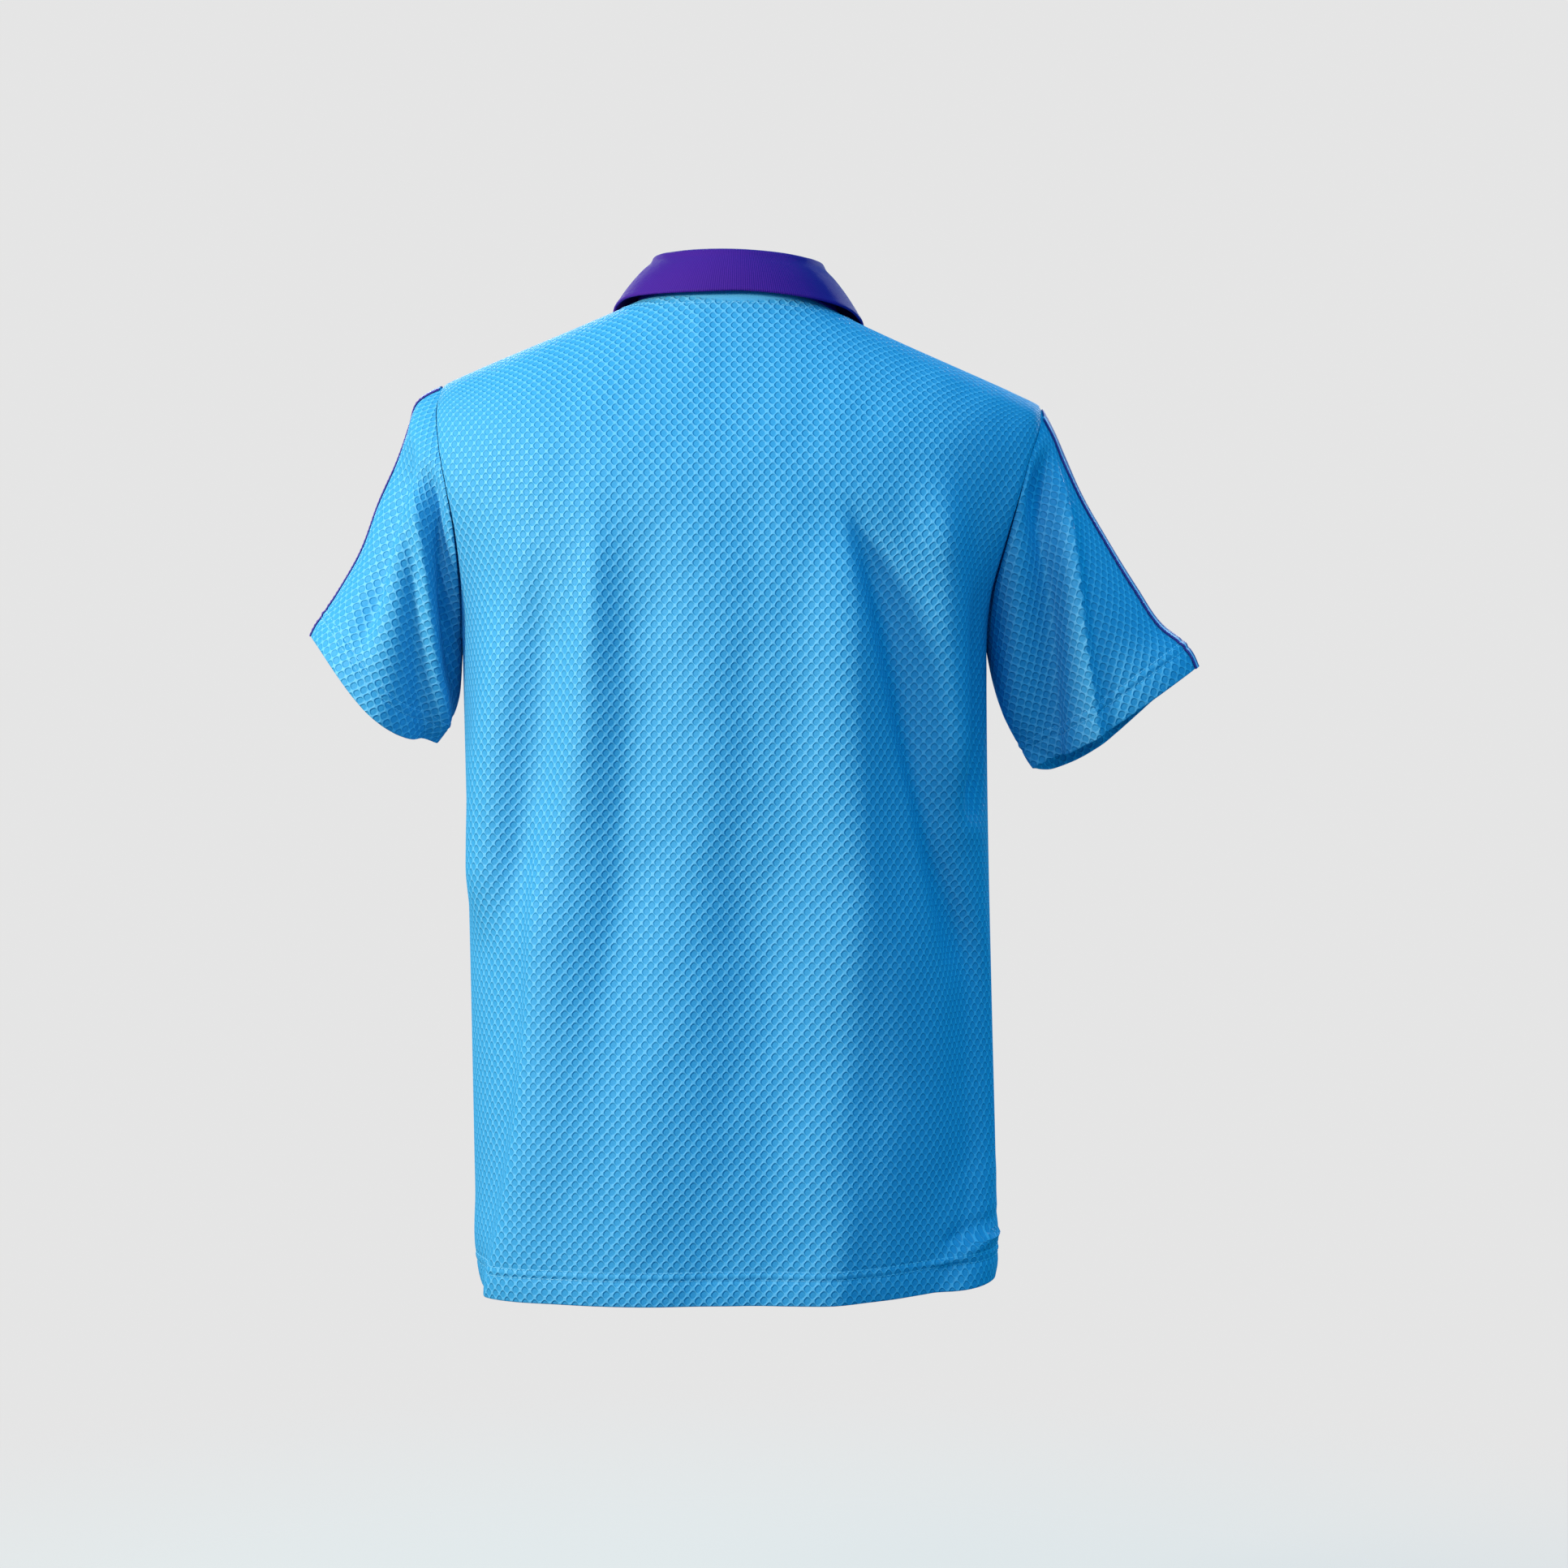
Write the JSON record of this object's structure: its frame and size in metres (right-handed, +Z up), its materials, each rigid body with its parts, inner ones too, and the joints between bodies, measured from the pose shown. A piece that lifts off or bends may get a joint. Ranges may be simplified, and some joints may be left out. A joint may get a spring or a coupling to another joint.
{
  "type": "polo shirt",
  "caption": "Short-sleeved polo shirt in honeycomb knit with a turned-down knitted collar, buttoned placket and contrast tapes, hollow in its worn form.",
  "frame": {"origin": "between the shoulders inside the shirt, on the plane that parts front and back, at the height of the neck's left side: where a wearer's shoulders and neck hold it", "axes": "+Z up along the body, the front faces -Y and the back faces +Y, +X is the wearer's left"},
  "size_m": [0.6582, 0.2625, 0.7609],
  "materials": {
    "body_knit": "sky-blue polyester honeycomb knit with a soft sheen",
    "collar_knit": "violet flat-knitted rib",
    "tape": "violet knitted tape with a pale edge line",
    "button": "polished resin, dyed to match"
  },
  "bodies": {
    "root": {"back": "body_knit", "front": "body_knit", "sleeve_left": "body_knit", "sleeve_right": "body_knit", "placket_upper": "body_knit", "placket_under": "body_knit", "collar": "collar_knit", "shoulder_tape_left": "tape", "shoulder_tape_right": "tape", "sleeve_tape_left": "tape", "sleeve_tape_right": "tape", "button_1": "button", "button_2": "button", "button_3": "button"}
  },
  "joints": []
}
